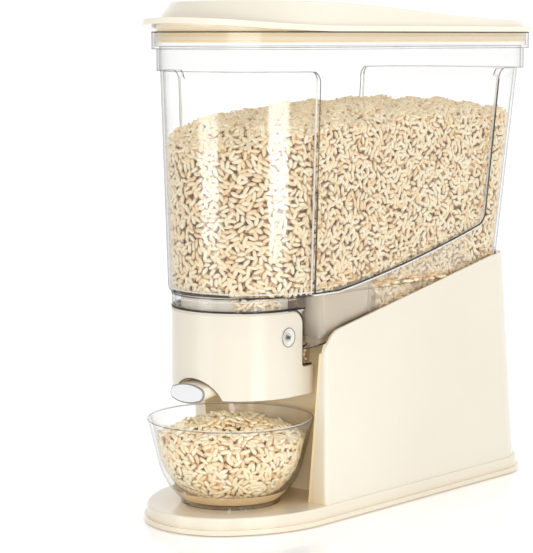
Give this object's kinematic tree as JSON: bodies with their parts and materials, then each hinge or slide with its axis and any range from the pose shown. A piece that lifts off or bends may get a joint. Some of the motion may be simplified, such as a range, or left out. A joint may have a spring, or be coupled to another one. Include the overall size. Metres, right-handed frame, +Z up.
{
  "type": "grain dispenser",
  "caption": "Clear lift-off grain hopper on a wedge-shaped stand, with a sprung push-lever gate over a loose glass bowl, and a lift-off lid.",
  "frame": {"origin": "floor level, middle of the whole part's length and width", "axes": "+Z up, -Y towards the spout and bowl, X across the width"},
  "size_m": [0.158, 0.3954, 0.4034],
  "materials": {
    "cream_plastic": "gloss",
    "lever_plastic": "gloss",
    "white_plastic": "gloss",
    "grey_plastic": "satin",
    "clear_plastic": "clear gloss",
    "cap_plastic": "clear gloss",
    "bowl_glass": "clear",
    "steel": "satin",
    "rubber_feet": "matte",
    "silicone": "matte",
    "dark_gasket": "matte"
  },
  "bodies": {
    "stand": {"base_plate": "cream_plastic", "foot_front_left": "rubber_feet", "foot_front_right": "rubber_feet", "foot_rear_left": "rubber_feet", "foot_rear_right": "rubber_feet", "tower_shell": "cream_plastic", "bay_liner": "cream_plastic", "saddle_deck": "cream_plastic", "deck_pad_left": "silicone", "deck_pad_right": "silicone", "base_screw_left_1": "steel", "base_screw_left_2": "steel", "base_screw_left_3": "steel", "base_screw_right_1": "steel", "base_screw_right_2": "steel", "base_screw_right_3": "steel"},
    "hopper": {"hopper_shell": "clear_plastic", "hopper_chute": "clear_plastic", "outlet_tip": "clear_plastic", "outlet_funnel": "cream_plastic", "spout_cover": "cream_plastic", "neck_gasket": "dark_gasket", "pivot_pin_left": "steel", "pivot_pin_right": "steel", "pivot_cap_left": "cap_plastic", "pivot_cap_right": "cap_plastic", "return_spring": "steel"},
    "lever": {"lever_arm": "lever_plastic", "gate_flap": "cream_plastic", "push_pad": "white_plastic", "push_pad_ring": "grey_plastic"},
    "lid": {"lid_shell": "cream_plastic", "lid_skirt": "cream_plastic", "lid_seal": "silicone"},
    "bowl": {"glass_bowl": "bowl_glass"}
  },
  "joints": [
    {"name": "hopper_lift", "type": "slide", "parent": "stand", "child": "hopper", "axis": [0, 0, 1], "range_m": [0, 0.16]},
    {"name": "lid_lift", "type": "slide", "parent": "hopper", "child": "lid", "axis": [0, 0, 1], "range_m": [0, 0.08]},
    {"name": "lever_push", "type": "hinge", "parent": "hopper", "child": "lever", "pos_m": [0, -0.1189, 0.1469], "axis": [1, 0, 0], "range_deg": [0, 13], "stiffness_Nm_per_rad": 0.25, "springref_deg": -20.05, "deforming": ["return_spring"]},
    {"name": "bowl_slide", "type": "slide", "parent": "stand", "child": "bowl", "axis": [0, -1, 0], "range_m": [0, 0.16]}
  ]
}
